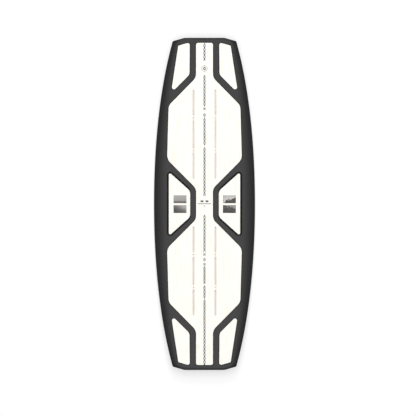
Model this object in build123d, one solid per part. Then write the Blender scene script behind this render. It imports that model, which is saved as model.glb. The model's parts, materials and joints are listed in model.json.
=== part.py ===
from build123d import *
from math import asin, degrees
import os

# A wakeboard with a moulded deck frame, on its base, tip towards +Y. All sizes are in millimetres.
# The base and the deck are two arcs about axes along X, so each layer of the board is a shell
# about one of those two axes, cut to the board's plan outline.

# ---- Driving dimensions: the whole board ----
LENGTH = 1420.0
WIDTH = 432.8
QUARTER_Y = 390.9  # a place between the middle and the tip, and the half width there
QUARTER_HALF_WIDTH = 194.6
CORNER_Y = 695.5  # where the side edge meets the slanted tip edge
CORNER_HALF_WIDTH = 136.0
TIP_FLAT_HALF = 85.0  # half of the straight edge across the tip
ROCKER = 62.0  # how far the base rises at the tip
THICK_MIDDLE = 27.0
THICK_TIP = 16.0

# ---- Driving dimensions: the rails' section ----
SHOULDER = 30.0  # width of the slope from the deck down to the rail, and how far it falls
SHOULDER_DROP = 7.0
TUCK = 6.0  # how far the rail turns in under the board, and how high the turn reaches
TUCK_RISE = 5.0
END_CHAMFER = 3.0  # slanted edge across the tip and tail

# ---- Driving dimensions: the layers ----
BASE_T = 1.5
LAMINATE_T = 1.0
SIDEWALL_TOP = 8.0  # the frame sits on the sidewall, this far above the base
RAIL_WALL = 24.0  # width of the sidewall and of the frame's full-depth rim
END_WALL = 16.0
SIDEWALL_END = 48.0  # the sidewall's end lengths reach this far in from the tip and tail
FRAME_T = 4.0  # depth of the frame over the top sheet
SHEET_T = 1.5
PANEL_DROP = 1.0  # the raised panels stop this far below the frame's face
STRINGER_IN = 30.0  # the stringers lie between these two distances from the centre line
STRINGER_OUT = 64.0

# ---- Driving dimensions: the binding tracks and their nuts ----
TRACK_X = 47.0
TRACK_Y = {"tip": 298.0, "tail": -287.0}
SLOT_LENGTH = 380.0
SLOT_WIDTH = 7.0
COVER_T = 1.0  # the top sheet goes over the tracks with this thickness
TRACK_WIDTH = 22.0
TRACK_END = 8.0  # solid end beyond the slot
TRACK_DEPTH = 12.0
LIP_T = 3.5
CHANNEL_WIDTH = 13.8
CHANNEL_FLOOR_T = 2.0
NUT_PITCH = 140.0  # between the two nuts of one track
NUT_LENGTH = 24.0
NUT_CLEARANCE = 0.3
NUT_CORNER = 1.5
THREAD_R = 2.5  # tapping radius of an M6 thread

# ---- Driving dimensions: the fins ----
FIN_X = 100.0
FIN_Y = 560.0
FIN_FLANGE_LENGTH = 124.0
FIN_FLANGE_WIDTH = 16.0
FIN_FLANGE_T = 3.5
FIN_BLADE_LENGTH = 86.0
FIN_BLADE_TIP = 50.0
FIN_DEPTH = 21.0
FIN_BLADE_T = 6.0
FIN_SCREW_Y = 53.0
SCREW_R = 2.45
SCREW_HEAD_R = 4.6
SCREW_ROOM = 0.15
SCREW_LENGTH = 11.5
SOCKET_R = 1.7
SOCKET_DEPTH = 1.6
INSERT_R = 4.5
INSERT_T = 7.0
HOLE_R = 2.75
SEAT_GAP = 0.02  # between the fin's flange and the curved base

# ---- Worked out from the driving dimensions ----
HALF_LENGTH = LENGTH / 2
HALF_WIDTH = WIDTH / 2
DECK_RISE = ROCKER + THICK_TIP - THICK_MIDDLE
BASE_R = (HALF_LENGTH**2 + ROCKER**2) / (2 * ROCKER)
DECK_R = (HALF_LENGTH**2 + DECK_RISE**2) / (2 * DECK_RISE)
DECK_AXIS_Z = THICK_MIDDLE + DECK_R
CORE_TOP = FRAME_T + SHEET_T + LAMINATE_T
CORE_BOTTOM = BASE_T + LAMINATE_T
TRACK_TOP = PANEL_DROP + COVER_T
CHANNEL_TOP = TRACK_TOP + LIP_T
CHANNEL_FLOOR = TRACK_TOP + TRACK_DEPTH - CHANNEL_FLOOR_T

# ---- Sizes of the solids that cut others: all reach beyond the board ----
REACH = 1000.0  # from the centre line, sideways or lengthways
BOTTOM = -20.0
CEILING = 140.0
OVERLAP = 2.0

# The side edge narrows with a square and a fourth-power term, through the two stations above.
FALL_1 = HALF_WIDTH - QUARTER_HALF_WIDTH
FALL_2 = HALF_WIDTH - CORNER_HALF_WIDTH
NARROW_4 = (FALL_2 / CORNER_Y**2 - FALL_1 / QUARTER_Y**2) / (CORNER_Y**2 - QUARTER_Y**2)
NARROW_2 = FALL_1 / QUARTER_Y**2 - NARROW_4 * QUARTER_Y**2

# Windows of the frame: corners of the right-hand tip outlines, with their radii.
CENTRE_WINDOW = [
    ((36.5, 688.5), 9.0),
    ((36.5, 540.0), 42.0),
    ((153.5, 421.0), 40.0),
    ((160.2, 190.4), 45.0),
    ((36.3, 66.0), 40.0),
]
CORNER_WINDOW = [
    ((62.6, 690.5), 9.0),
    ((112.2, 676.4), 6.0),
    ((143.6, 472.6), 9.0),
    ((64.0, 552.4), 26.0),
]
# The side windows have sloping walls, so each has an outline at its floor and one above the deck.
SIDE_WINDOW_FLOOR = [((152.2, 136.4), 5.5), ((61.3, 54.7), 28.0)]
SIDE_WINDOW_TOP = [((160.6, 154.3), 13.0), ((60.0, 62.3), 32.0)]
SIDE_WINDOW_LOW = 23.5  # heights of these two outlines
SIDE_WINDOW_HIGH = 30.0

SIDES = {"left": -1, "right": 1}
ENDS = {"tip": 1, "tail": -1}


def half_width(y):
    """Half of the board's width at a place along it."""
    return HALF_WIDTH - NARROW_2 * y**2 - NARROW_4 * y**4


def base_z(y):
    """Height of the base arc."""
    return BASE_R - (BASE_R**2 - y**2) ** 0.5


def deck_z(y):
    """Height of the deck arc."""
    return DECK_AXIS_Z - (DECK_R**2 - y**2) ** 0.5


def above_arc(radius, axis_z):
    """The space above an arc about a rocker axis, as far as the board reaches."""
    end_y = HALF_LENGTH + 20 * OVERLAP
    end_z = axis_z - (radius**2 - end_y**2) ** 0.5
    corners = [(0, end_y, end_z), (0, end_y, CEILING), (0, -end_y, CEILING), (0, -end_y, end_z)]
    arc = ThreePointArc(corners[0], (0, 0, axis_z - radius), corners[-1])
    profile = make_face([arc, Polyline(*corners)])
    return extrude(profile, REACH, dir=(1, 0, 0), both=True)


def above_base(height):
    """The space from a height above the base arc upwards."""
    return above_arc(BASE_R - height, BASE_R)


def above_depth(depth):
    """The space from a depth below the deck arc upwards."""
    return above_arc(DECK_R + depth, DECK_AXIS_Z)


def slab(low_x, high_x, low_y=-REACH, high_y=REACH):
    """A block between two places across the board and two along it, taller than the board."""
    block = Box(high_x - low_x, high_y - low_y, CEILING - BOTTOM)
    return Pos((low_x + high_x) / 2, (low_y + high_y) / 2, (BOTTOM + CEILING) / 2) * block


def tall(face):
    """A flat outline as a solid that is taller than the board."""
    return Pos(0, 0, BOTTOM) * extrude(face, CEILING - BOTTOM)


def plan_prism(rail_inset, end_inset):
    """The board's plan outline, moved in by two widths, as a tall solid."""
    end_y = HALF_LENGTH - end_inset
    corner_y = CORNER_Y - end_inset * 0.6
    corner_x = half_width(corner_y) - rail_inset
    flat = TIP_FLAT_HALF - end_inset / 4
    stations = [-1, -0.75, -0.5, -0.25, 0, 0.25, 0.5, 0.75, 1]
    side = [(half_width(s * corner_y) - rail_inset, s * corner_y) for s in stations]
    mirrored = [(-x, y) for x, y in side]
    edges = [
        Spline(*side),
        Line(side[-1], (flat, end_y)),
        Line((flat, end_y), (-flat, end_y)),
        Line((-flat, end_y), (-corner_x, corner_y)),
        Spline(*mirrored),
        Line((-corner_x, -corner_y), (-flat, -end_y)),
        Line((-flat, -end_y), (flat, -end_y)),
        Line((flat, -end_y), side[0]),
    ]
    return tall(make_face(edges))


def layer(low, high):
    """The space between two heights above the base arc."""
    return above_base(low) - above_base(high)


def centre_face(body, height):
    """The face of the board's outside that crosses the middle at a height."""
    return min(body.faces(), key=lambda f: f.distance_to(Vertex(0, 0, height)))


def side_edges(body, height):
    """The two long edges of the board that pass the middle at a height."""
    middles = [Vertex(side * HALF_WIDTH, 0, height) for side in SIDES.values()]
    return [min(body.edges(), key=lambda e: e.distance_to(v)) for v in middles]


def end_edges(body):
    """The deck's straight edges across the tip and tail."""
    middles = [Vertex(0, end * HALF_LENGTH, deck_z(HALF_LENGTH)) for end in ENDS.values()]
    return [min(body.edges(), key=lambda e: e.distance_to(v)) for v in middles]


def board_outside():
    """The whole board's outside: the plan between the two arcs, with sloping rails and ends."""
    body = plan_prism(0, 0) & (above_base(0) - above_depth(0))
    deck = centre_face(body, THICK_MIDDLE)
    body = chamfer(side_edges(body, THICK_MIDDLE), SHOULDER, SHOULDER_DROP, reference=deck)
    base = centre_face(body, 0)
    body = chamfer(side_edges(body, 0), TUCK, TUCK_RISE, reference=base)
    return chamfer(end_edges(body), END_CHAMFER)


def window_face(corners):
    """A closed outline with rounded corners."""
    points = [c for c, _ in corners]
    radii = [r for _, r in corners]
    return make_face(FilletPolyline(*points, radius=radii, close=True))


def whole_loop(corners):
    """Corners of a window that is its own mirror image in both axes."""
    right = corners + [((x, -y), r) for (x, y), r in reversed(corners)]
    left = [((-x, y), r) for (x, y), r in reversed(right)]
    return right + left


def centre_window():
    return window_face(whole_loop(CENTRE_WINDOW))


def corner_window(side, end):
    corners = [((side * x, end * y), r) for (x, y), r in CORNER_WINDOW]
    return window_face(corners)


def side_window(side, corners):
    upper = [((side * x, y), r) for (x, y), r in corners]
    lower = [((x, -y), r) for (x, y), r in reversed(upper)]
    return window_face(upper + lower)


def panel_prisms():
    """The windows that raised panels fill: the centre one and the four at the corners."""
    corners = [tall(corner_window(side, end)) for side in SIDES.values() for end in ENDS.values()]
    return [tall(centre_window())] + corners


def side_window_cutter(side):
    """A side window with sloping walls, narrower at the top sheet than at the frame's face."""
    floor = Pos(0, 0, SIDE_WINDOW_LOW) * side_window(side, SIDE_WINDOW_FLOOR)
    top = Pos(0, 0, SIDE_WINDOW_HIGH) * side_window(side, SIDE_WINDOW_TOP)
    return loft([floor, top], ruled=True) + extrude(floor, -OVERLAP)


def track_bar(end, side, width, length, top, bottom):
    """A bar along a track, concentric with the deck, between two depths."""
    x, y = side * TRACK_X, TRACK_Y[end]
    block = slab(x - width / 2, x + width / 2, y - length / 2, y + length / 2)
    return (block & above_depth(bottom)) - above_depth(top)


def track_room(end, side):
    """The pocket that a binding track fills."""
    length = SLOT_LENGTH + 2 * TRACK_END
    return track_bar(end, side, TRACK_WIDTH, length, TRACK_TOP, TRACK_TOP + TRACK_DEPTH)


def track_mouth(end, side):
    """The slot through the top sheet and the track's lips."""
    return track_bar(end, side, SLOT_WIDTH, SLOT_LENGTH, 0, CHANNEL_TOP + OVERLAP)


def track(end, side):
    """A binding track: a bar with a T-shaped channel that is open to the deck."""
    channel = track_bar(end, side, CHANNEL_WIDTH, SLOT_LENGTH, CHANNEL_TOP, CHANNEL_FLOOR)
    return track_room(end, side) - track_mouth(end, side) - channel


def about_deck(part, y):
    """Move a part from the middle of the deck arc to another place on it."""
    return part.rotate(Axis((0, 0, DECK_AXIS_Z), (1, 0, 0)), degrees(asin(y / DECK_R)))


def about_base(part, y):
    """Move a part from the middle of the base arc to another place on it."""
    return part.rotate(Axis((0, 0, BASE_R), (1, 0, 0)), degrees(asin(y / BASE_R)))


def track_nut(y, side):
    """A sliding nut with a threaded hole, captive in a track's channel."""
    top = THICK_MIDDLE - CHANNEL_TOP - NUT_CLEARANCE
    height = CHANNEL_FLOOR - CHANNEL_TOP - 2 * NUT_CLEARANCE
    width = CHANNEL_WIDTH - 2 * NUT_CLEARANCE
    block = Box(width, NUT_LENGTH, height, align=(Align.CENTER, Align.CENTER, Align.MAX))
    block = chamfer(block.edges().filter_by(Axis.Z), NUT_CORNER)
    block -= Cylinder(THREAD_R, 4 * height)
    return about_deck(Pos(side * TRACK_X, 0, top) * block, y)


def at_fin_screws(part, y, side):
    """Two copies of a part that is made at the origin, at one fin's screws and square to the base."""
    part = Pos(side * FIN_X, 0, 0) * part
    return [about_base(part, y + step) for step in (-FIN_SCREW_Y, FIN_SCREW_Y)]


def fin_blade():
    """The fin's foil: an oval section below the flange, shorter and thinner at its free edge."""
    root = Pos(0, 0, -FIN_FLANGE_T) * Ellipse(FIN_BLADE_T / 2, FIN_BLADE_LENGTH / 2)
    tip = Pos(0, 0, -FIN_DEPTH) * Ellipse(FIN_BLADE_T / 4, FIN_BLADE_TIP / 2)
    return loft([root.face(), tip.face()])


def fin(y, side):
    """A fin: a flange that follows the base, a blade, and two countersunk holes."""
    outline = SlotOverall(FIN_FLANGE_LENGTH, FIN_FLANGE_WIDTH, rotation=90)
    plate = Pos(0, 0, -FIN_FLANGE_T) * extrude(outline, FIN_FLANGE_T + OVERLAP)
    part = about_base(Pos(side * FIN_X, 0, 0) * (plate + fin_blade()), y) - above_base(-SEAT_GAP)
    part -= at_fin_screws(Cylinder(HOLE_R, 4 * FIN_FLANGE_T), y, side)
    return part - at_fin_screws(screw_seat(), y, side)


def screw_seat():
    """The countersunk recess for a screw's head, open downwards."""
    height = SCREW_HEAD_R - SCREW_R
    cone = Pos(0, 0, height / 2) * Cone(SCREW_HEAD_R + SCREW_ROOM, SCREW_R + SCREW_ROOM, height)
    mouth = Cylinder(SCREW_HEAD_R + SCREW_ROOM, OVERLAP)
    return Pos(0, 0, -FIN_FLANGE_T) * (cone + Pos(0, 0, -OVERLAP / 2) * mouth)


def fin_screws(y, side):
    """The two countersunk screws of one fin, each with a hexagon socket."""
    height = SCREW_HEAD_R - SCREW_R
    head = Pos(0, 0, height / 2) * Cone(SCREW_HEAD_R, SCREW_R, height)
    shank = Pos(0, 0, (height + SCREW_LENGTH) / 2) * Cylinder(SCREW_R, SCREW_LENGTH - height)
    socket = extrude(RegularPolygon(SOCKET_R, 6), SOCKET_DEPTH)
    screw = Pos(0, 0, -FIN_FLANGE_T) * (head + shank - socket)
    return Compound(children=at_fin_screws(screw, y, side))


def insert_rooms(y, side):
    """The two places where one fin's inserts sit in the core."""
    room = Pos(0, 0, CORE_BOTTOM + INSERT_T / 2) * Cylinder(INSERT_R, INSERT_T)
    return at_fin_screws(room, y, side)


def fin_inserts(y, side):
    """The two threaded inserts of one fin."""
    insert = Cylinder(INSERT_R, INSERT_T) - Cylinder(THREAD_R, 2 * INSERT_T)
    insert = Pos(0, 0, CORE_BOTTOM + INSERT_T / 2) * insert
    return Compound(children=at_fin_screws(insert, y, side))


def make_layers():
    """The board's own layers, by node name."""
    fin_places = [(end * FIN_Y, side) for end in ENDS.values() for side in SIDES.values()]
    hole = Cylinder(HOLE_R, 4 * CORE_BOTTOM)
    holes = [h for y, side in fin_places for h in at_fin_screws(hole, y, side)]
    pockets = [room for y, side in fin_places for room in insert_rooms(y, side)]
    tracks = [track_room(end, side) for end in ENDS for side in SIDES.values()]
    mouths = [track_mouth(end, side) for end in ENDS for side in SIDES.values()]

    shape = board_outside()
    inner = plan_prism(RAIL_WALL, END_WALL)
    ring = shape & (layer(CORE_BOTTOM, SIDEWALL_TOP) - inner)
    core = (inner & above_base(CORE_BOTTOM)) - above_depth(CORE_TOP) - pockets - tracks
    panels = panel_prisms()

    nodes = {}
    nodes["base_sheet"] = (shape & layer(-BASE_T, BASE_T)) - holes
    nodes["bottom_laminate"] = (shape & layer(BASE_T, CORE_BOTTOM)) - holes
    wall_end = HALF_LENGTH - SIDEWALL_END
    nodes["sidewall_left"] = ring & slab(-REACH, 0, -wall_end, wall_end)
    nodes["sidewall_right"] = ring & slab(0, REACH, -wall_end, wall_end)
    nodes["sidewall_tip"] = ring & slab(-REACH, REACH, wall_end, REACH)
    nodes["sidewall_tail"] = ring & slab(-REACH, REACH, -REACH, -wall_end)
    nodes["core_left"] = core & slab(-REACH, -STRINGER_OUT)
    nodes["stringer_left"] = core & slab(-STRINGER_OUT, -STRINGER_IN)
    nodes["core_centre"] = core & slab(-STRINGER_IN, STRINGER_IN)
    nodes["stringer_right"] = core & slab(STRINGER_IN, STRINGER_OUT)
    nodes["core_right"] = core & slab(STRINGER_OUT, REACH)
    nodes["top_laminate"] = (inner & above_depth(CORE_TOP)) - above_depth(FRAME_T + SHEET_T) - tracks

    under_frame = (inner & above_depth(FRAME_T)) - panels
    sheet = (inner & above_depth(FRAME_T + SHEET_T)) - above_depth(PANEL_DROP)
    nodes["top_sheet"] = sheet - under_frame - tracks - mouths
    frame = above_base(SIDEWALL_TOP) - (inner - above_depth(FRAME_T)) - panels
    nodes["deck_frame"] = shape & (frame - [side_window_cutter(side) for side in SIDES.values()])
    return nodes


def make_fittings():
    """Tracks, nuts, fins and their fasteners, by node name."""
    nodes = {}
    for end in ENDS:
        for side, s in SIDES.items():
            nodes[f"track_{end}_{side}"] = track(end, s)
            for place, step in (("front", 1), ("rear", -1)):
                y = TRACK_Y[end] + step * NUT_PITCH / 2
                nodes[f"nut_{end}_{side}_{place}"] = track_nut(y, s)
            fin_y = ENDS[end] * FIN_Y
            nodes[f"fin_{end}_{side}"] = fin(fin_y, s)
            nodes[f"fin_screws_{end}_{side}"] = fin_screws(fin_y, s)
            nodes[f"fin_inserts_{end}_{side}"] = fin_inserts(fin_y, s)
    return nodes


os.makedirs("parts", exist_ok=True)
for name, shape in {**make_layers(), **make_fittings()}.items():
    export_step(shape, f"parts/{name}.step")
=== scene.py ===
# %% [markdown]
# # A wakeboard, made in Blender around its engineering model
# The board is a rockered sandwich: a dark moulded frame on top, a pale sheet showing through
# its windows, side walls, and a hard base with fins. The engineering model fixes where every
# piece lies. This lesson gives the pieces that show their finished shape and surface.

# %% Load the fixed frame and keep its box
import json
import math
from functools import partial
import bmesh
import bpy
import numpy as np
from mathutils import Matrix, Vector
from mathutils.geometry import delaunay_2d_cdt


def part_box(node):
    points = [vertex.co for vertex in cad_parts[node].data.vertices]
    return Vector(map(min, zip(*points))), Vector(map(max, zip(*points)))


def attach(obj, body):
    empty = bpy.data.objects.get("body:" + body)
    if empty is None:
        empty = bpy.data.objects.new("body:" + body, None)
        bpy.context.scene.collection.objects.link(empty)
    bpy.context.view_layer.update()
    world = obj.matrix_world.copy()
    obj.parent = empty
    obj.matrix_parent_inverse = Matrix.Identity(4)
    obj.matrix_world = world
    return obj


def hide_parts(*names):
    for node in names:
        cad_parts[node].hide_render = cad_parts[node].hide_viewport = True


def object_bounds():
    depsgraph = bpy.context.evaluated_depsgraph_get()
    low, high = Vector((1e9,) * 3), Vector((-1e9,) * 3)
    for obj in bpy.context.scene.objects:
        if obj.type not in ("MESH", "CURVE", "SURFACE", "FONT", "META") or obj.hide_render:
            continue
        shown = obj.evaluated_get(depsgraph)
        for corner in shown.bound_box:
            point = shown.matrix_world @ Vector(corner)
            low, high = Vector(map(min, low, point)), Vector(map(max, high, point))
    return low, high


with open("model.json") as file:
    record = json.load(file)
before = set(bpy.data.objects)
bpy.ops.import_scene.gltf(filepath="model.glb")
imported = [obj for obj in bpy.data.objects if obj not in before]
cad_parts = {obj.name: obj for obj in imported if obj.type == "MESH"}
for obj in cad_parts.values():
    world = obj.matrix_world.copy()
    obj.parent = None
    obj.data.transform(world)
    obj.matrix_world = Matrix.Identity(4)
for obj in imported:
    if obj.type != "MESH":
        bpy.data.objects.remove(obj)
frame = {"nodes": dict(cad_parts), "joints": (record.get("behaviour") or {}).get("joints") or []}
cad_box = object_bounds()
low_corner, high_corner = cad_box

# %% [markdown]
# ## The board's form as a few numbers
# Base and deck are two arcs about axes that lie across the board, so height is a function of
# the place along it. The plan narrows with a square and a fourth-power term. Lengths here are
# in millimetres, because that is how a board is specified; each mesh is turned to metres once.

# %% Driving dimensions
MM = 0.001
LENGTH = (high_corner.y - low_corner.y) / MM
WIDTH = (high_corner.x - low_corner.x) / MM
HALF_LENGTH = LENGTH / 2
HALF_WIDTH = WIDTH / 2
THICK_MIDDLE = 27.0
ROCKER = 62.0
QUARTER = (390.9, 194.6)  # a place along the board, and the half width there
CORNER = (695.5, 136.0)  # the same where the side meets the slanted end
END_FLAT = 85.0  # half of the straight edge across the tip
DECK_AXIS = frame["joints"][0]["pos_m"][2] / MM
DECK_R = DECK_AXIS - THICK_MIDDLE
BASE_R = (HALF_LENGTH**2 + ROCKER**2) / (2 * ROCKER)
FALLS = [(HALF_WIDTH - w) / y**2 for y, w in (QUARTER, CORNER)]
NARROW_4 = (FALLS[1] - FALLS[0]) / (CORNER[0] ** 2 - QUARTER[0] ** 2)
NARROW_2 = FALLS[0] - NARROW_4 * QUARTER[0] ** 2
SLANT = (HALF_LENGTH - CORNER[0]) / (CORNER[1] - END_FLAT)
print(f"board {LENGTH:.0f} x {WIDTH:.1f} mm, deck radius {DECK_R:.0f} mm, base radius {BASE_R:.0f} mm")


# %% Heights and widths as functions
def base_z(y):
    """Height of the base arc: radius less the root of radius squared minus y squared."""
    return BASE_R - np.sqrt(BASE_R**2 - y**2)


def deck_z(y):
    """Height of the deck arc, in the same way about the deck's axis."""
    return DECK_AXIS - np.sqrt(DECK_R**2 - y**2)


def half_width(y):
    """Half of the plan width: the middle's half less a square and a fourth-power term."""
    return HALF_WIDTH - NARROW_2 * y**2 - NARROW_4 * y**4


# %% [markdown]
# ## The crowned deck
# A moulded rail rolls off towards its edge, and this is what gives the dark border its soft
# gradient. The height of the skin is the deck arc less a parabola of the distance to the side,
# and a shorter one at each end.

# %% The height of the frame's skin
SHOULDER = (58.0, 30.0)  # width of the roll-off at the middle and at the ends
SHOULDER_DROP = (8.5, 5.0)
END_ROLL = 16.0
END_DROP = 2.6


def skin_z(x, y):
    """Deck arc less drop * (1 - distance / width) squared, for the side and for the end."""
    share = (y / HALF_LENGTH) ** 2
    width = SHOULDER[0] + (SHOULDER[1] - SHOULDER[0]) * share
    drop = SHOULDER_DROP[0] + (SHOULDER_DROP[1] - SHOULDER_DROP[0]) * share
    side = np.clip(1 - (half_width(y) - np.abs(x)) / width, 0, 1)
    to_flat = HALF_LENGTH - np.abs(y)
    to_slant = (to_flat - SLANT * (np.abs(x) - END_FLAT)) / math.hypot(1, SLANT)
    end = np.clip(1 - np.minimum(to_flat, to_slant) / END_ROLL, 0, 1)
    return deck_z(y) - drop * side**2 - END_DROP * end**2


# %% [markdown]
# ## Outlines
# Two outlines make the board: its own edge, moved inwards by any width, and the windows,
# polygons with rounded corners. Each is a loop of points with the same count at every inset,
# so that loops at different heights join into a skin without any fitting.

# %% The board's edge as a loop
def bend(a, corner, b, steps):
    """A quadratic curve from a to b that is pulled towards the corner."""
    t = np.linspace(0, 1, steps)[:, None]
    return (1 - t) ** 2 * a + 2 * t * (1 - t) * corner + t**2 * b


def board_loop(inset, end_inset):
    """The edge moved in: a quarter is worked out, and mirrored to the other three."""
    end_y = HALF_LENGTH - end_inset
    corner_y = CORNER[0] - 0.6 * end_inset
    corner = np.array([half_width(corner_y) - inset, corner_y])
    flat = np.array([END_FLAT - end_inset / 4, end_y])
    run = (flat - corner) / np.linalg.norm(flat - corner)
    side_y = np.linspace(0, corner_y - 5.0, 110)
    side = np.column_stack([half_width(side_y) - inset, side_y])
    turn = bend(side[-1], corner, corner + 5.0 * run, 8)
    slant = np.linspace(turn[-1], flat - 8.0 * run, 8)
    turn_2 = bend(slant[-1], flat, flat - [8.0, 0], 6)
    edge = np.linspace(turn_2[-1], [0, end_y], 12)
    quarter = np.vstack([side, turn[1:], slant[1:], turn_2[1:], edge[1:]])
    left = quarter[-2::-1] * [-1, 1]
    half = np.vstack([quarter, left])
    return np.vstack([half, half[-2:0:-1] * [1, -1]])


# %% A window as a loop
LEAST_RADIUS = 0.6
ARC_POINTS, RUN_POINTS = 9, 26


def cross_2d(a, b):
    """The third component of a cross product: positive where b turns left from a."""
    return a[..., 0] * b[..., 1] - a[..., 1] * b[..., 0]


def window_loop(corners, radii, grow=0.0):
    """A polygon moved outwards by grow: corners cross the moved edges, and an arc rounds each.

    A corner moves along its outward normal, less the tangent of half its turn along the edge. An
    arc of radius r starts r * tan(half turn) before the corner, and runs r * sin, r * (1 - cos).
    """
    points, radii = np.array(corners, float), np.array(radii, float)
    if np.sum(cross_2d(points, np.roll(points, -1, 0))) < 0:
        points, radii = points[::-1], radii[::-1]
    ahead = np.roll(points, -1, 0) - points
    ahead /= np.linalg.norm(ahead, axis=1)[:, None]
    behind = np.roll(ahead, 1, 0)
    turn = np.arctan2(cross_2d(behind, ahead), np.sum(behind * ahead, 1))
    half_tan = np.tan(turn / 2)[:, None]
    outward = ahead[:, ::-1] * [1, -1]
    moved = points + grow * (outward - half_tan * ahead)
    bend_side = np.sign(turn)[:, None]
    radius = np.maximum(radii[:, None] + grow * bend_side, LEAST_RADIUS)
    start = moved - radius * np.abs(half_tan) * behind
    stop = moved + radius * np.abs(half_tan) * ahead
    angle = (np.abs(turn)[:, None] * np.linspace(0, 1, ARC_POINTS))[..., None]
    left = (behind[:, ::-1] * [-1, 1] * bend_side)[:, None]
    swing = np.sin(angle) * behind[:, None] + (1 - np.cos(angle)) * left
    arcs = start[:, None] + radius[:, None] * swing
    runs = np.linspace(stop, np.roll(start, -1, 0), RUN_POINTS)[1:-1].transpose(1, 0, 2)
    return np.concatenate([arcs, runs], axis=1).reshape(-1, 2)


# %% [markdown]
# ## Skins and fills
# Two ways to make faces are enough. Loops at successive heights give a grid of quads, as in
# any lofted shell. Flat regions with holes are triangulated between their loops, with spare
# points inside so that the arc of the deck is followed there too.

# %% Quads between loops, and fills
CLEARANCE = 0.5  # of the grid's spacing, between a spare point and any loop


def lift(loop, height):
    """Points in plan given their height, which is a function of x and y."""
    return np.column_stack([loop, height(*loop.T)])


def skin(rows, closed=False):
    """Rows of one closed loop each, and quads that join neighbours. Closed, the last meets the first."""
    rows = np.array(rows)
    index = np.arange(rows[..., 0].size).reshape(rows.shape[:2])
    if closed:
        index = np.vstack([index, index[:1]])
    nxt = np.roll(index, -1, 1)
    quads = np.stack([index[:-1], nxt[:-1], nxt[1:], index[1:]], -1)
    return rows.reshape(-1, 3), quads.reshape(-1, 4)


def inside(points, loops):
    """Even-odd rule: a ray to the right crosses the loops' edges an odd number of times."""
    (x, y), (ax, ay) = points.T[..., None], np.vstack(loops).T
    bx, by = np.vstack([np.roll(loop, -1, 0) for loop in loops]).T
    spans = (ay > y) != (by > y)
    rise = np.where(by == ay, 1, by - ay)
    return np.sum(spans & (x < ax + (y - ay) * (bx - ax) / rise), 1) % 2 == 1


def fill(outer, holes, height, spacing=9.0):
    """Triangles between a loop and its holes, each point lifted by a height function.

    Spare points lie on a square grid, wherever half a step in each direction is inside too. The
    loops are rounded as the triangulation rounds them, so that the test for inside agrees with it.
    """
    loops = [np.float32(loop).astype(float) for loop in (outer, *holes)]
    index = np.split(np.arange(sum(map(len, loops))), np.cumsum([len(loop) for loop in loops])[:-1])
    edges = np.vstack([np.column_stack([ids, np.roll(ids, -1)]) for ids in index])
    low, high = outer.min(0), outer.max(0)
    steps = [np.arange(a, b, spacing) for a, b in zip(low, high)]
    grid = np.stack(np.meshgrid(*steps), -1).reshape(-1, 2)
    nudges = CLEARANCE * spacing * np.array([[1, 0], [-1, 0], [0, 1], [0, -1]])
    grid = grid[np.all([inside(grid + nudge, loops) for nudge in nudges], 0)]
    flat = np.vstack([*loops, grid])
    result = delaunay_2d_cdt([Vector(p) for p in flat], edges.tolist(), [], 0, 1e-5)
    points, faces = np.array([tuple(p) for p in result[0]]), np.array(result[2])
    return lift(points, height), faces[inside(points[faces].mean(1), loops)]


# %% A piece from its shells
def make_piece(name, shells, body="board", sharp=math.radians(32)):
    """Joins shells of (points in mm, faces, material index) into one closed, smooth-shaded mesh."""
    points, faces, slots, first = [], [], [], 0
    for shell_points, shell_faces, slot in shells:
        points.append(np.asarray(shell_points) * MM)
        faces += (np.asarray(shell_faces) + first).tolist()
        slots += [slot] * len(shell_faces)
        first += len(shell_points)
    mesh = bpy.data.meshes.new(name)
    mesh.from_pydata(np.vstack(points).tolist(), [], faces)
    mesh.polygons.foreach_set("material_index", slots)
    tidy = bmesh.new()
    tidy.from_mesh(mesh)
    bmesh.ops.remove_doubles(tidy, verts=tidy.verts, dist=0.02 * MM)
    bmesh.ops.recalc_face_normals(tidy, faces=tidy.faces)
    open_edges = sum(1 for e in tidy.edges if not e.is_manifold)
    tidy.to_mesh(mesh)
    tidy.free()
    mesh.shade_smooth()
    mesh.set_sharp_from_angle(angle=sharp)
    piece = bpy.data.objects.new(name, mesh)
    bpy.context.scene.collection.objects.link(piece)
    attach(piece, body)
    print(f"{name}: {len(mesh.polygons)} faces, {open_edges} open edges")
    return piece


# %% [markdown]
# ## Windows of the frame
# The corners below are those of the right-hand tip side; mirroring gives the others. The side
# windows are sunk, with walls that slope outwards except beside the waist, so their top
# outline is wider than their floor.

# %% Window corners and radii
CENTRE = [(36.5, 688.5), (36.5, 540.0), (153.5, 421.0), (160.2, 190.4), (36.3, 66.0)]
CENTRE_R = [9.0, 42.0, 40.0, 45.0, 40.0]
END = [(62.6, 690.5), (112.2, 676.4), (143.6, 472.6), (64.0, 552.4)]
END_R = [9.0, 6.0, 9.0, 26.0]
SIDE_FLOOR = [(152.2, 136.4), (61.3, 54.7)]
SIDE_TOP = [(158.2, 149.2), (60.4, 60.6)]
SIDE_FLOOR_R = [5.5, 28.0]
SIDE_TOP_R = [11.5, 32.0]


def mirrored(corners, radii):
    """A window that is its own mirror image in both directions, from its first quarter."""
    right = corners + [(x, -y) for x, y in corners[::-1]]
    left = [(-x, y) for x, y in right[::-1]]
    return right + left, (radii + radii[::-1]) * 2


def side_corners(corners, side):
    """The upper corners of a side window, and the same below in reverse order."""
    upper = [(side * x, y) for x, y in corners]
    return upper + [(x, -y) for x, y in upper[::-1]]


centre = mirrored(CENTRE, CENTRE_R)
window_list = [("centre", centre, centre)]
for end in (1, -1):
    for side in (1, -1):
        corner = ([(side * x, end * y) for x, y in END], END_R)
        window_list.append(("corner", corner, corner))
for side in (1, -1):
    top = (side_corners(SIDE_TOP, side), SIDE_TOP_R + SIDE_TOP_R[::-1])
    floor = (side_corners(SIDE_FLOOR, side), SIDE_FLOOR_R + SIDE_FLOOR_R[::-1])
    window_list.append(("side", top, floor))
print(len(window_list), "windows")

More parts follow.
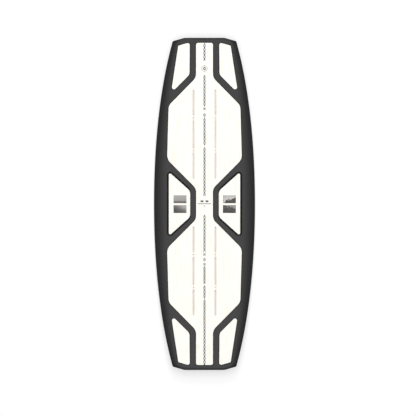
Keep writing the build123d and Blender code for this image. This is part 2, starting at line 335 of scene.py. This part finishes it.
# %% [markdown]
# ## The deck frame
# The frame is one moulding. Its rail is a set of loops that start under the lip, go round the
# widest point and climb the shoulder. Its flat part is filled between the last of these loops
# and the windows, and each window's rim is a quarter round and a wall.

# %% Rail loops, flat part and window walls
FRAME_T = 4.0
RIM = 2.2
BAND = 1.2  # level strip beside a rim, which keeps the shading of the flat part even
LIP = 8.2  # the frame's lower lip, above the base
RAIL_WALL, END_WALL = 24.0, 16.0
NOSE = 1.8  # the inset at which the tight nose meets the shoulder
TOP_RINGS = [(3.6, 3.2), (6, 5), (8.5, 6.2), (11.5, 7.5), (15, 9), (18.5, 10.2), (22, 11.2)]


def above_base(loop, height):
    """Points in plan at a height above the base arc."""
    return lift(loop, lambda x, y: base_z(y) + height)


def nose_rows(steps=8):
    """From the widest point up to the shoulder: a cubic curve, upright below and sloping on top."""
    edge, shoulder = board_loop(0, 0), lift(board_loop(NOSE, NOSE), skin_z)
    low = base_z(edge[:, 1])
    thick = deck_z(edge[:, 1]) - low
    apex = np.column_stack([edge, low + np.maximum(LIP + 1.2, 0.42 * thick)])
    rise = shoulder[:, 2] - apex[:, 2]
    control_1 = apex + np.column_stack([0 * rise, 0 * rise, 0.55 * rise])
    inner = shoulder[:, :2] - edge
    slope = 0.22 * np.hypot(*inner.T)
    control_2 = np.column_stack([edge + 0.35 * inner, shoulder[:, 2] - 0.65 * slope])
    t = np.linspace(0, 1, steps)[:, None, None]
    rows = (1 - t) ** 3 * apex + 3 * t * (1 - t) ** 2 * control_1
    return list(rows + 3 * t**2 * (1 - t) * control_2 + t**3 * shoulder)


def window_rows(top, floor, depth):
    """A level band, a quarter round from the skin, then a wall down to a depth below the deck."""
    rows = [lift(window_loop(*top, RIM + BAND), skin_z)]
    for turn in np.linspace(0, math.pi / 2, 5):
        loop = window_loop(*top, RIM * (1 - math.sin(turn)))
        drop = RIM * (1 - math.cos(turn))
        rows.append(lift(loop, lambda x, y: skin_z(x, y) - drop))
    rows.append(lift(window_loop(*floor), lambda x, y: deck_z(y) - depth))
    return rows


def frame_shells():
    """The rail, the rims of the windows, and the flat faces above and below between them."""

    def under(x, y):
        return deck_z(y) - FRAME_T - 0.1

    wall_loop = board_loop(RAIL_WALL, END_WALL)
    rail = [lift(wall_loop, under), above_base(wall_loop, LIP), above_base(board_loop(0.9, 0.9), LIP)]
    rail += [above_base(board_loop(0.2, 0.2), LIP + 0.5)] + nose_rows()
    rail += [lift(board_loop(*inset), skin_z) for inset in TOP_RINGS]
    rims = [window_rows(top, floor, FRAME_T + 0.1) for _, top, floor in window_list]
    shells = [(*skin(rail), 0)]
    # The rims and walls take the second finish, which is darker: painted shade along each window's edge.
    shells += [(*skin(rows), 1) for rows in rims]
    shells.append((*fill(board_loop(*TOP_RINGS[-1]), [rows[0][:, :2] for rows in rims], skin_z), 0))
    shells.append((*fill(wall_loop, [rows[-1][:, :2] for rows in rims], under, 30.0), 0))
    return shells


deck_frame = make_piece("deck_frame_moulding", frame_shells())
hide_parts("deck_frame")

# %% [markdown]
# ## The pale top sheet
# Five raised panels fill windows and two lower ones lie at the bottom of the side windows.
# The centre panel is cut by the four binding slots.

# %% Panels with slots
PANEL_DROP = 1.0  # a raised panel's face, below the frame
GAP = 0.25
TUCK_UNDER = 2.0  # how far a sunk panel reaches under the frame
COVER, SHEET_T = 0.9, 1.4  # thickness over the tracks, and elsewhere
EASE = 0.4
SLOT_WIDTH, SLOT_LENGTH, SLOT_RADIUS = 7.0, 380.0, 2.5
tracks = [name for name in frame["nodes"] if name.startswith("track_")]


def slot_loop(track, grow=0.0):
    """The mouth of a binding track: a long rounded rectangle about the middle of its node."""
    low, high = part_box(track)
    x, y = (low.x + high.x) / 2 / MM, (low.y + high.y) / 2 / MM
    half = np.array([SLOT_WIDTH, SLOT_LENGTH]) / 2
    corners = np.array([x, y]) + half * [(1, 1), (-1, 1), (-1, -1), (1, -1)]
    return window_loop(corners, [SLOT_RADIUS] * 4, grow)


def plate(outer, holes, top, bottom, ease):
    """A closed plate: eased edges, walls, a filled top and a filled bottom."""
    rows = []
    for loop_at, sign in [(outer, -1)] + [(hole, 1) for hole in holes]:
        ring = [lift(loop_at(sign * (ease + BAND)), top)]
        for turn in np.linspace(0, math.pi / 2, 4):
            loop = loop_at(sign * ease * (1 - math.sin(turn)))
            drop = ease * (1 - math.cos(turn))
            ring.append(lift(loop, lambda x, y: top(x, y) - drop))
        ring.append(lift(loop_at(0), bottom))
        rows.append(ring)
    shells = [(*skin(ring), 0) for ring in rows]
    shells.append((*fill(rows[0][0][:, :2], [r[0][:, :2] for r in rows[1:]], top, 14.0), 0))
    shells.append((*fill(rows[0][-1][:, :2], [r[-1][:, :2] for r in rows[1:]], bottom, 40.0), 0))
    return shells


def panel_shells():
    """A plate for each window: raised ones stand in it with a gap, sunk ones reach under its wall."""
    shells = []
    for kind, _, floor in window_list:
        raised = kind != "side"
        margin = -GAP if raised else TUCK_UNDER
        holes = [partial(slot_loop, track) for track in tracks] if kind == "centre" else []
        drop = PANEL_DROP if raised else FRAME_T
        bottom = drop + COVER if holes else FRAME_T + SHEET_T
        shells += plate(
            lambda grow: window_loop(*floor, grow + margin),
            holes,
            lambda x, y: deck_z(y) - drop,
            lambda x, y: deck_z(y) - bottom,
            EASE,
        )
    return shells


top_sheet = make_piece("top_sheet_panels", panel_shells())
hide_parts("top_sheet")

# %% [markdown]
# ## Side walls and base
# Below the frame's lip the board is closed by side walls, and the base sheet turns up into
# them with a soft tuck. The inset is a quarter ellipse of the height.

# %% Side wall lengths and base shell
TUCK, TUCK_HEIGHT = 6.0, 7.5
BASE_TOP = 2.4


def tuck(height):
    """How far the edge turns in at a height above the base."""
    return TUCK * (1 - math.sqrt(max(0.0, 1 - (1 - min(height / TUCK_HEIGHT, 1)) ** 2)))


def edge_rows(heights):
    """The board's edge at several heights above the base, turned in by the tuck."""
    return [above_base(board_loop(tuck(h) + 0.1, tuck(h) + 0.1), h) for h in heights]


def wall_shells(chosen):
    """One length of the side wall: an open strip of the edge, closed all round."""
    heights = np.linspace(BASE_TOP + 0.2, LIP - 0.4, 7)
    outer = edge_rows(heights)
    rows = [above_base(board_loop(0.9, 0.9), LIP - 0.2)] + outer[::-1]
    inner = board_loop(RAIL_WALL - 1, END_WALL - 1)
    rows += [above_base(inner, heights[0]), above_base(inner, LIP - 0.2)]
    rows = np.array(rows)[:, chosen]
    count, size = rows.shape[:2]
    index = np.arange(count * size).reshape(count, size)
    nxt = np.roll(index, -1, 0)
    quads = np.stack([index[:, :-1], index[:, 1:], nxt[:, 1:], nxt[:, :-1]], -1).reshape(-1, 4)
    caps = [(rows.reshape(-1, 3), [index[:, k].tolist()], 0) for k in (0, -1)]
    return [(rows.reshape(-1, 3), quads, 0)] + caps


LENGTHS = {
    "sidewall_right": (1, 0),
    "sidewall_left": (-1, 0),
    "sidewall_tip": (0, 1),
    "sidewall_tail": (0, -1),
}
edge_loop = board_loop(0, 0)
split_y = HALF_LENGTH - 48.0
side_walls = {}
for node, (side, end) in LENGTHS.items():
    along_side = (edge_loop[:, 0] * side > 0) & (np.abs(edge_loop[:, 1]) < split_y + 3)
    at_end = edge_loop[:, 1] * end > split_y - 3
    chosen = np.flatnonzero(at_end if end else along_side)
    jump = np.flatnonzero(np.diff(chosen) > 1)
    chosen = np.roll(chosen, -(jump[0] + 1)) if len(jump) else chosen
    side_walls[node] = make_piece(node + "_strip", wall_shells(chosen))
    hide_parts(node)


def base_shells():
    """The tucked edge, a flat running face below and a plain face above."""
    heights = [BASE_TOP, 1.9, 1.3, 0.8, 0.4, 0.12, 0.0]
    rows = edge_rows(heights)
    rows.append(above_base(board_loop(tuck(0) + 4, tuck(0) + 4), 0.0))
    bottom = fill(rows[-1][:, :2], [], lambda x, y: base_z(y), 16.0)
    top = fill(rows[0][:, :2], [], lambda x, y: base_z(y) + BASE_TOP, 60.0)
    return [(*skin(rows), 0), (*bottom, 0), (*top, 0)]


base = make_piece("base_sheet_shell", base_shells())
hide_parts("base_sheet")

# %% [markdown]
# ## Printed graphics
# The print is a chain down the centre line, two small marks and four toned rectangles. Each is
# a film a tenth of a millimetre thick that follows the deck, so it is a real piece that
# catches the light with the sheet, and not a picture.

# %% Films on the deck
FILM = 0.12


def film_path(centre, across, depth, closed=False):
    """A ribbon along a path: four corners of its section, carried from point to point."""
    x, y = centre.T
    ax, ay = across.T
    low, high = deck_z(y) - depth - 0.02, deck_z(y) - depth + FILM
    corners = [(-1, low), (-1, high), (1, high), (1, low)]
    rows = np.stack([np.column_stack([x + s * ax, y + s * ay, z]) for s, z in corners], 1)
    points, quads = skin(rows, closed)
    last = len(points) - 4
    caps = [] if closed else [[3, 2, 1, 0], [last, last + 1, last + 2, last + 3]]
    return points, quads.tolist() + caps


def block(x0, x1, y0, y1, depth):
    """A rectangle of film, in short steps along the board."""
    y = np.linspace(y0, y1, max(2, int((y1 - y0) / 12) + 2))
    centre = np.column_stack([np.full_like(y, (x0 + x1) / 2), y])
    return film_path(centre, np.tile([(x1 - x0) / 2, 0.0], (len(y), 1)), depth)


def as_shells(parts):
    """Films as shells of a piece with one finish."""
    return [(points, faces, 0) for points, faces in parts]


# %% The chain
LINK = 16.0  # distance between two crossings
CHAIN_HALF = 3.4
OVERPRINT = 0.02  # one strand is printed over the other, and the knots over both
LINE_HALF = 1.35
KNOT = (2.8, 4.0)  # half width and half length of the solid mark at a crossing
RUNS = [
    (684, 612), (548, 420), (366, 252), (240, 34), (-50, -206), (-270, -342), (-352, -404), (-412, -690),
]


def strand(top, bottom, side):
    """One strand: x is a sine of y whose half wave is one link."""
    y = np.linspace(bottom, top, int((top - bottom) / 1.6))
    phase = math.pi * (y - top) / LINK
    x = side * CHAIN_HALF * np.sin(phase)
    slope = side * CHAIN_HALF * math.pi / LINK * np.cos(phase)
    normal = np.column_stack([np.ones_like(y), -slope])
    normal /= np.linalg.norm(normal, axis=1)[:, None]
    return film_path(np.column_stack([x, y]), LINE_HALF * normal, PANEL_DROP - OVERPRINT * side)


def knots(top, bottom):
    """The crossings of two strands: a short tapering film at each, widest in its middle."""
    parts = []
    for y in np.arange(top, bottom, -LINK):
        t = np.linspace(-1, 1, 5)
        centre = np.column_stack([0 * t, y + KNOT[1] * t])
        across = np.column_stack([KNOT[0] * (1.05 - np.abs(t)), 0 * t])
        parts.append(film_path(centre, across, PANEL_DROP - 2 * OVERPRINT))
    return parts


def line(a, b, half):
    """A straight printed line between two points."""
    a, b = np.array(a, float), np.array(b, float)
    along = (b - a) / np.linalg.norm(b - a)
    points = np.linspace(a, b, 4)
    return film_path(points, np.tile([-along[1] * half, along[0] * half], (4, 1)), PANEL_DROP)


def cross(y, size=5.0):
    """Two lines that cross on the centre line."""
    return [line((-size, y - s * size), (size, y + s * size), LINE_HALF) for s in (1, -1)]


def diamond(y, wide=4.5, tall=7.0, half=LINE_HALF):
    """Four lines from tip to tip about a place on the centre line."""
    tips = [(0, y + tall), (wide, y), (0, y - tall), (-wide, y)]
    return [line(a, b, half) for a, b in zip(tips, tips[1:] + tips[:1])]


chain_parts = [strand(a, b, s) for a, b in RUNS for s in (1, -1)]
chain_parts += [knot for a, b in RUNS for knot in knots(a, b - 1)]
for y in (407.0, -216.0, -258.0):
    chain_parts += cross(y)
for y in (380.0, -238.0):
    chain_parts += diamond(y)
chain = make_piece("printed_chain", as_shells(chain_parts))

# %% Small marks and toned rectangles
MARK_Y = 579.0


def ring(y, radius, half):
    """A printed ring: a ribbon along a circle, closed on itself."""
    angle = np.linspace(0, 2 * math.pi, 48, endpoint=False)
    out = np.column_stack([np.sin(angle), np.cos(angle)])
    return film_path(out * radius + [0, y], out * half, PANEL_DROP, closed=True)


mark_parts = [ring(MARK_Y, 12.0, 0.8)] + diamond(MARK_Y, wide=5.0, tall=6.5, half=2.0)
mark_parts += [block(x - 6, x + 6, 7.5, 15, PANEL_DROP) for x in (-10.8, 10.8)]
mark_parts += diamond(-9.0, wide=2.6, tall=2.6, half=0.7)
mark_parts += [block(x - 1.6, x + 1.6, -1, 2.6, PANEL_DROP) for x in np.linspace(-26, 26, 13)]
marks = make_piece("printed_marks", as_shells(mark_parts))

CARD_X = {"left": (-132.6, -77.0), "right": (78.7, 134.3)}
CARD_Y = {"upper": (3.0, 37.0), "lower": (-39.0, -5.0)}
cards = {}
for side, (x0, x1) in CARD_X.items():
    for level, (y0, y1) in CARD_Y.items():
        shells = as_shells([block(x0, x1, y0, y1, FRAME_T)])
        cards[side, level] = make_piece(f"printed_card_{side}_{level}", shells)

# %% [markdown]
# ## Materials
# Colours are given as sRGB hex values, as a paint chart has them, and turned to linear light
# by one function. Another adds a node with its settings and its links. Every finish starts
# from what the stuff is: a matt rubbery moulding, a satin printed sheet, a hard waxed base.

# %% Colour and node helpers
def linear(hex_colour):
    """sRGB hex to linear RGBA, by the standard curve."""
    parts = [int(hex_colour[i : i + 2], 16) / 255 for i in (0, 2, 4)]
    return (*[c / 12.92 if c <= 0.04045 else ((c + 0.055) / 1.055) ** 2.4 for c in parts], 1.0)


def add(tree, kind, *first, stops=(), **settings):
    """Adds a node. Inputs are given in order or by name, and one that is a socket is linked.

    Names in lower case are the node's properties, and stops are a ramp's pairs of place and hex.
    """
    node = tree.nodes.new("ShaderNode" + kind)
    given = list(zip(node.inputs, first))
    for name, value in settings.items():
        if name.islower():
            setattr(node, name, value)
        else:
            given.append((node.inputs[name.replace("_", " ")], value))
    for socket, value in given:
        if isinstance(value, bpy.types.NodeSocket):
            tree.links.new(value, socket)
        else:
            socket.default_value = value
    for number, (place, colour) in enumerate(stops):
        elements = node.color_ramp.elements
        element = elements[number] if number < len(elements) else elements.new(place)
        element.position, element.color = place, linear(colour)
    return node


# %% A new finish
def start_finish(name, roughness, **settings):
    """A material with uniform values set on its shader, and the piece's own coordinates."""
    made = bpy.data.materials.new(name)
    made.use_nodes = True
    shader = made.node_tree.nodes["Principled BSDF"]
    shader.inputs["Roughness"].default_value = roughness
    for key, value in settings.items():
        shader.inputs[key.replace("_", " ")].default_value = value
    return made, made.node_tree, shader, add(made.node_tree, "TexCoord").outputs["Object"]


def coat(tree, shader, stops, tone, relief=None, height=0.0, strength=1.0):
    """Runs one factor through the stops for the colour, and raises the surface by another, in mm."""
    ramp = add(tree, "ValToRGB", tone, stops=stops)
    tree.links.new(ramp.outputs["Color"], shader.inputs["Base Color"])
    if relief:
        bump = add(tree, "Bump", Height=relief, Distance=height * MM, Strength=strength)
        tree.links.new(bump.outputs["Normal"], shader.inputs["Normal"])


EVEN = (1, 1, 1)


def grained(name, roughness, stops, tone, relief=None, **settings):
    """A finish from two noises: one gives the tone, the other the relief.

    Each is (feature in mm, stretch, detail), and relief adds its height in mm and its strength. A
    stretch below 1 draws the features out along that axis.
    """
    made, tree, shader, place = start_finish(name, roughness, **settings)
    factors = []
    for size, stretch, detail, *_ in filter(None, (tone, relief)):
        mapping = add(tree, "Mapping", place, Scale=stretch)
        noise = add(tree, "TexNoise", mapping.outputs["Vector"], Scale=1 / (size * MM), Detail=detail)
        factors.append(noise.outputs["Fac"])
    coat(tree, shader, stops, *factors, *(relief[3:] if relief else ()))
    return made


# %% [markdown]
# ## What shows from above
# The frame is moulded urethane with a spark-eroded grain, which keeps it dull and a little
# uneven. Its gloss is broad, so a flat stretch mirrors the lamp overhead and a slope doesn't:
# that alone draws the rails' roll-off. The sheet is printed ABS with a whitewashed wood print.

# %% Frame and sheet
# Injection-moulded urethane: near black and dull, with a pebble of about 1.5 mm.
moulded_urethane = grained(
    "moulded_urethane",
    0.38,
    [(0.3, "161617"), (0.7, "1D1D1F")],
    tone=(1.54, EVEN, 6.0),
    relief=(1.43, EVEN, 2.0, 0.1, 0.5),
    Specular_IOR_Level=0.22,
)
# The window rims and walls: the same urethane, a little smoother, and darker as painted shade for the shadow
# and dark line along the windows' edges.
edge_painted_shade = grained(
    "urethane_edge_painted_shade",
    0.35,
    [(0.3, "080809"), (0.7, "0E0E0F")],
    tone=(3.3, EVEN, 4.0),
    Specular_IOR_Level=0.15,
)
# Satin ABS with a whitewashed wood print: cream streaks along the board, about 6 mm wide.
printed_sheet = grained(
    "whitewashed_abs",
    0.42,
    [(0.33, "EAE5D8"), (0.47, "F0EEE6"), (0.7, "F2F0EA")],
    tone=(6.25, (1, 0.045, 1), 8.0),
    relief=(1.1, EVEN, 2.0, 0.02, 0.3),
    Specular_IOR_Level=0.4,
)

# %% Tracks and ink
# The tracks: undyed glass-filled nylon, warm white, with faint flow marks.
moulded_nylon = grained(
    "undyed_nylon",
    0.45,
    [(0.3, "E2DAD1"), (0.7, "E8E1D9")],
    tone=(3.3, EVEN, 4.0),
    relief=(1.25, EVEN, 4.0, 0.02, 0.3),
)


def screen_ink(name, low, high):
    """Screen-printed ink: matt, with the small density changes of a mesh of 1 mm."""
    return grained(name, 0.55, [(0.35, low), (0.65, high)], tone=(1.0, EVEN, 3.0))


grey_ink = screen_ink("grey_ink", "1F1E1D", "33312F")
dark_ink = screen_ink("dark_ink", "2E2D2C", "474543")

# %% [markdown]
# ## What shows from the sides and from below
# Side walls are plain extruded ABS. The base is sintered polyethylene, ground along the board,
# and the fins are moulded with short glass fibre. Screws, inserts and nuts are metals with a
# turned or blasted surface.

# %% Walls, base and fins
# Side wall: dark extruded ABS, with die lines along its length.
extruded_abs = grained(
    "extruded_abs",
    0.5,
    [(0.3, "1F1F21"), (0.7, "29292C")],
    tone=(4.5, (1, 0.1, 1), 4.0),
    relief=(2.0, EVEN, 4.0, 0.06, 0.5),
)
# Sintered polyethylene: hard and waxed, with a stone-ground structure along the board.
sintered_base = grained(
    "sintered_base",
    0.3,
    [(0.3, "24262A"), (0.7, "33363B")],
    tone=(3.85, (1, 0.02, 1), 7.0),
    relief=(1.1, (1, 0.015, 1), 4.0, 0.03, 0.4),
    Coat_Weight=0.3,
    Coat_Roughness=0.25,
)
# Fins: black nylon with short glass fibre, which shows as a fine pale fleck.
fibre_nylon = grained(
    "glass_filled_nylon",
    0.42,
    [(0.45, "18181A"), (0.8, "3A3A3D")],
    tone=(0.83, (1, 0.4, 1), 4.0),
    relief=(1.1, EVEN, 4.0, 0.03, 0.4),
)


# %% Metals
def metal(name, low, high, roughness, mark):
    """A metal whose tone and relief follow the marks of its working, of a size in mm."""
    stops = [(0.3, low), (0.7, high)]
    relief = (mark, EVEN, 6.0, 0.02, 0.4)
    return grained(name, roughness, stops, relief[:3], relief, Metallic=1.0)


# Blasting leaves the stainless nuts pale and dull; turned screws and inserts stay bright.
blasted_stainless = metal("blasted_stainless", "B4ADA4", "C2BBB3", 0.5, 1.1)
turned_stainless = metal("turned_stainless", "B9B9B6", "D4D4D1", 0.25, 0.83)
turned_brass = metal("turned_brass", "C2A15A", "D9BC79", 0.3, 0.83)

# %% [markdown]
# ## Inside the board
# Foam, wood and glass don't show in the whole board, but they do when a layer is taken off.

# %% Core materials
FOAM_CELL, YARN_PITCH = 1.0, 2.0  # mm


def rigid_foam():
    """Polyurethane foam: cream, with cut cells."""
    made, tree, shader, place = start_finish("polyurethane_foam", 0.9)
    cells = add(tree, "TexVoronoi", place, Scale=1 / (FOAM_CELL * MM)).outputs["Distance"]
    coat(tree, shader, [(0.1, "D9C998"), (0.6, "F0E5C2")], cells, cells, 0.2)
    return made


def glass_laminate():
    """Woven glass in epoxy: crossed yarns under a clear gloss. Twenty units of scale make a radian."""
    gloss = {"Coat_Weight": 0.6, "Coat_Roughness": 0.15}
    made, tree, shader, place = start_finish("woven_glass_epoxy", 0.35, **gloss)
    scale = 2 * math.pi / (20 * YARN_PITCH * MM)
    yarns = [add(tree, "TexWave", place, Scale=scale, bands_direction=axis) for axis in ("X", "Y")]
    yarns = [yarn.outputs["Fac"] for yarn in yarns]
    crossed = add(tree, "Math", *yarns, operation="MAXIMUM").outputs["Value"]
    coat(tree, shader, [(0.2, "A9AF9C"), (0.9, "C9CEBF")], crossed, crossed, 0.1)
    return made


# Paulownia stringers: pale wood with growth rings as long streaks 4 mm apart.
plain_wood = grained(
    "paulownia_wood",
    0.6,
    [(0.3, "A98555"), (0.65, "D6B98A")],
    tone=(4.0, (1, 0.03, 1), 9.0),
    relief=(1.67, (1, 0.03, 1), 4.0, 0.05, 1.0),
)

# %% [markdown]
# ## The four toned rectangles
# Each is an abstract print: a band of tones across the rectangle, broken up by noise. The tones
# run along one direction, and a Mapping node centres and turns them on the piece.

# %% Toned print
CARD_SPAN = 0.056  # metres over which the tones run from end to end


def toned_print(name, centre, turn, mottle, size, *stops):
    """Place along the turned card, plus mottle * (noise - 1/2), plus a half, through the stops."""
    made, tree, shader, place = start_finish(name, 0.5)
    middle = (centre[0] * MM, centre[1] * MM, 0)
    centred = add(tree, "VectorMath", place, middle, operation="SUBTRACT").outputs["Vector"]
    turned = add(tree, "Mapping", centred, Rotation=(0, 0, turn), Scale=(1 / CARD_SPAN,) * 3)
    along = add(tree, "SeparateXYZ", turned.outputs["Vector"]).outputs["Y"]
    drawn = add(tree, "Mapping", place, Scale=(1, 1.6, 1)).outputs["Vector"]
    noise = add(tree, "TexNoise", drawn, Scale=1 / (size * MM), Detail=8.0).outputs["Fac"]
    mixed = add(tree, "Math", noise, mottle, along, operation="MULTIPLY_ADD").outputs["Value"]
    factor = add(tree, "Math", mixed, 0.5 - mottle / 2, operation="ADD").outputs["Value"]
    coat(tree, shader, stops, factor)
    return made


# For each card: turn in radians, share of noise, its feature in mm, and the stops.
CARD_TONES = {
    ("left", "upper"): (
        *(0.0, 0.12, 16.7),
        *((0.28, "4F4C4A"), (0.34, "6A6765"), (0.40, "8F8C89"), (0.7, "9A9794")),
    ),
    ("left", "lower"): (
        *(0.5, 0.25, 25.0),
        *((0.25, "2B2928"), (0.5, "545250"), (0.8, "9C9996")),
    ),
    ("right", "upper"): (
        *(-0.2, 0.9, 16.7),
        *((0.34, "1F1D1C"), (0.44, "353332"), (0.5, "BDBAB6"), (0.9, "9E9B98")),
    ),
    ("right", "lower"): (
        *(0.3, 1.4, 11.1),
        *((0.35, "1C1A19"), (0.6, "383634"), (0.78, "85827F")),
    ),
}
card_finishes = {}
for (side, level), tones in CARD_TONES.items():
    centre = (sum(CARD_X[side]) / 2, sum(CARD_Y[level]) / 2)
    card_finishes[side, level] = toned_print(f"toned_print_{side}_{level}", centre, *tones)

# %% [markdown]
# ## Dressing the pieces
# New pieces get their finishes in the order of their material indices. The pieces that are
# carried over from the engineering model are dressed by the start of their name.

# %% Assign every finish
laminate = glass_laminate()
NODE_FINISHES = {
    "track_": moulded_nylon,
    "nut_": blasted_stainless,
    "fin_screws": turned_stainless,
    "fin_inserts": turned_brass,
    "fin_": fibre_nylon,
    "core_": rigid_foam(),
    "stringer_": plain_wood,
    "bottom_laminate": laminate,
    "top_laminate": laminate,
}


def dress(piece, *chosen):
    """Adds finishes to a piece, in the order of its material indices."""
    for one in chosen:
        piece.data.materials.append(one)


# The frame's second finish is the darker one, painted shade on the window rims and walls.
dress(deck_frame, moulded_urethane, edge_painted_shade)
dress(top_sheet, printed_sheet)
dress(base, sintered_base)
dress(chain, grey_ink)
dress(marks, dark_ink)
for piece in side_walls.values():
    dress(piece, extruded_abs)
for key, piece in cards.items():
    dress(piece, card_finishes[key])
for name, node in frame["nodes"].items():
    start = next((key for key in NODE_FINISHES if name.startswith(key)), None)
    if start:
        node.data.materials.clear()
        dress(node, NODE_FINISHES[start])
print("dressed", sum(name.startswith(tuple(NODE_FINISHES)) for name in frame["nodes"]), "carried-over nodes")

# %% [markdown]
# ## Studio
# A pale floor, a large soft light overhead and an even white surround, and a camera that looks
# straight down through a long lens.

# %% Floor, lights and camera
FLOOR_HALF, FLOOR_GAP = 30.0, 0.0005  # metres
floor_z = low_corner.z - FLOOR_GAP
floor_corners = [(x * FLOOR_HALF, y * FLOOR_HALF, floor_z) for x, y in ((-1, -1), (1, -1), (1, 1), (-1, 1))]
floor_mesh = bpy.data.meshes.new("floor")
floor_mesh.from_pydata(floor_corners, [], [(0, 1, 2, 3)])
floor = bpy.data.objects.new("floor", floor_mesh)
bpy.context.scene.collection.objects.link(floor)
# Matt paper, lit a little from below so that it stays even and pale.
floor_mesh.materials.append(
    start_finish(
        "lit_paper_floor",
        0.9,
        Base_Color=linear("B0B0B0"),
        Emission_Color=linear("FFFFFF"),
        Emission_Strength=0.58,
    )[0]
)

scene = bpy.context.scene
scene.view_settings.view_transform = "Standard"
world = bpy.data.worlds.new("studio")
scene.world = world
world.use_nodes = True
world.node_tree.nodes["Background"].inputs["Color"].default_value = (1, 1, 1, 1)
world.node_tree.nodes["Background"].inputs["Strength"].default_value = 0.46


def area_light(name, place, size, power):
    """A square soft box that looks at the board's middle."""
    data = bpy.data.lights.new(name, "AREA")
    data.shape = "SQUARE"
    data.size = size
    data.energy = power
    light = bpy.data.objects.new(name, data)
    scene.collection.objects.link(light)
    light.location = place
    light.rotation_euler = (-Vector(place)).to_track_quat("-Z", "Y").to_euler()


area_light("overhead", (0, 0, 3.2), 2.0, 56)
area_light("from_the_tip", (0, 2.2, 3.4), 1.2, 38)

VIEW_WIDTH = 1.779  # metres across the picture at the board
CAMERA_HEIGHT = 40.0
AIM = (0.015, -0.0175)
camera_data = bpy.data.cameras.new("camera")
camera_data.lens = camera_data.sensor_width * CAMERA_HEIGHT / VIEW_WIDTH
camera = bpy.data.objects.new("camera", camera_data)
scene.collection.objects.link(camera)
camera.location = (AIM[0], AIM[1], CAMERA_HEIGHT + 0.04)
scene.camera = camera
